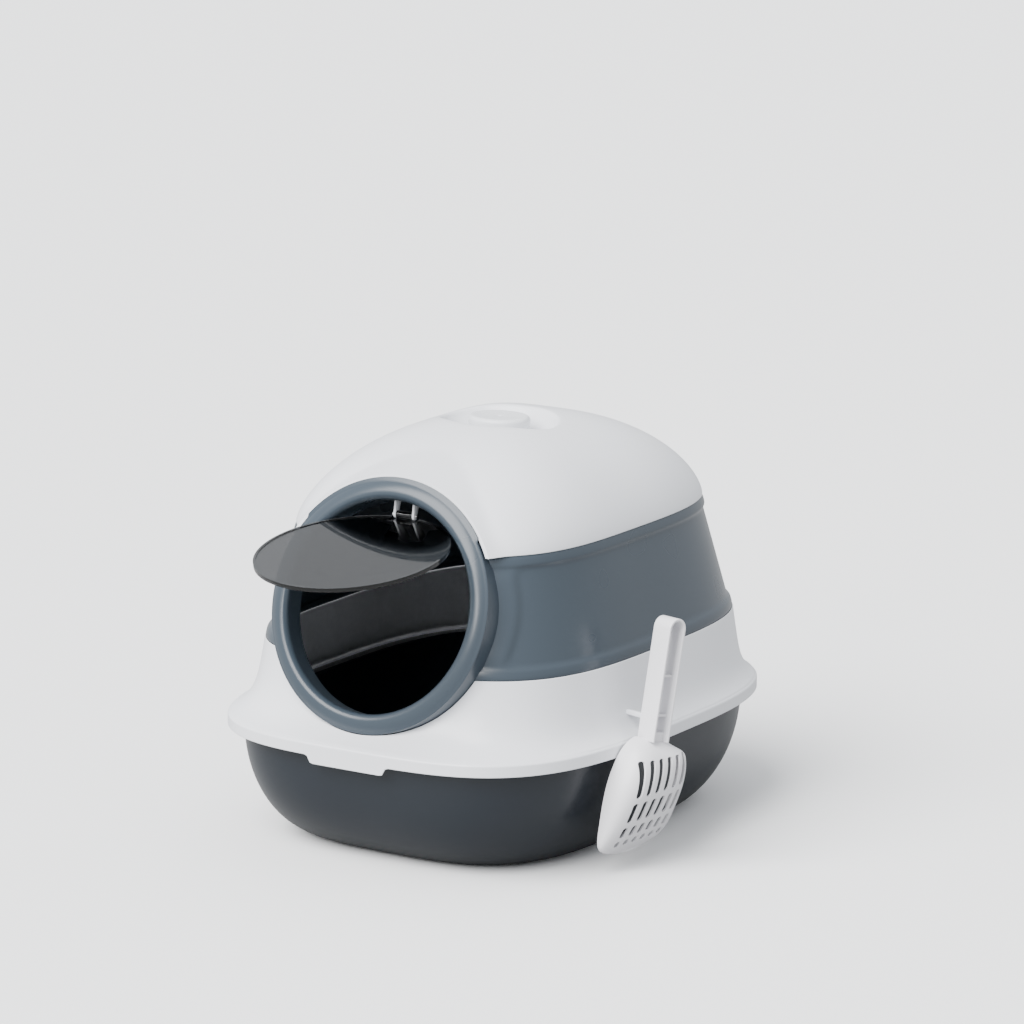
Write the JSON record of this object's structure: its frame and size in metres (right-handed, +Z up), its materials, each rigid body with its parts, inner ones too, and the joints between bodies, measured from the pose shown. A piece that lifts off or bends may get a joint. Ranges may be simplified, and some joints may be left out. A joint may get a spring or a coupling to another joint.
{
  "type": "hooded cat litter box",
  "caption": "Hooded cat litter box: deep tray, lift-off three-tier hood with a round leaning doorway, swinging clear flap, carry handle and a hanging slotted scoop.",
  "frame": {"origin": "on the floor under the middle of the tray rim", "axes": "+Z up, doorway towards -Y, scoop on the +X side"},
  "size_m": [0.4637, 0.5981, 0.3974],
  "materials": {
    "tray_plastic": "dark charcoal-slate moulded polypropylene, satin gloss",
    "white_plastic": "white moulded polypropylene, satin gloss",
    "slate_plastic": "blue-grey moulded polypropylene, satin gloss",
    "smoked_clear": "smoked see-through acrylic, polished",
    "scoop_plastic": "white moulded polypropylene, fine satin",
    "steel": "plain steel"
  },
  "bodies": {
    "tray": {"tray": "tray_plastic"},
    "hood": {"lower_hood": "white_plastic", "middle_band": "slate_plastic", "dome_cover": "white_plastic", "carry_handle": "white_plastic", "handle_screw": "steel", "flap_hinge_pin": "steel"},
    "flap": {"door_flap": "smoked_clear"},
    "scoop": {"scoop": "scoop_plastic"}
  },
  "joints": [
    {"name": "hood_lift", "type": "slide", "parent": "tray", "child": "hood", "axis": [0, 0, 1], "range_m": [0, 0.25]},
    {"name": "flap_swing", "type": "hinge", "parent": "hood", "child": "flap", "pos_m": [0, -0.157, 0.328], "axis": [1, 0, 0], "range_deg": [-5, 142]},
    {"name": "scoop_off_peg", "type": "slide", "parent": "hood", "child": "scoop", "axis": [0.9703, -0.2419, 0], "range_m": [0, 0.1]}
  ]
}
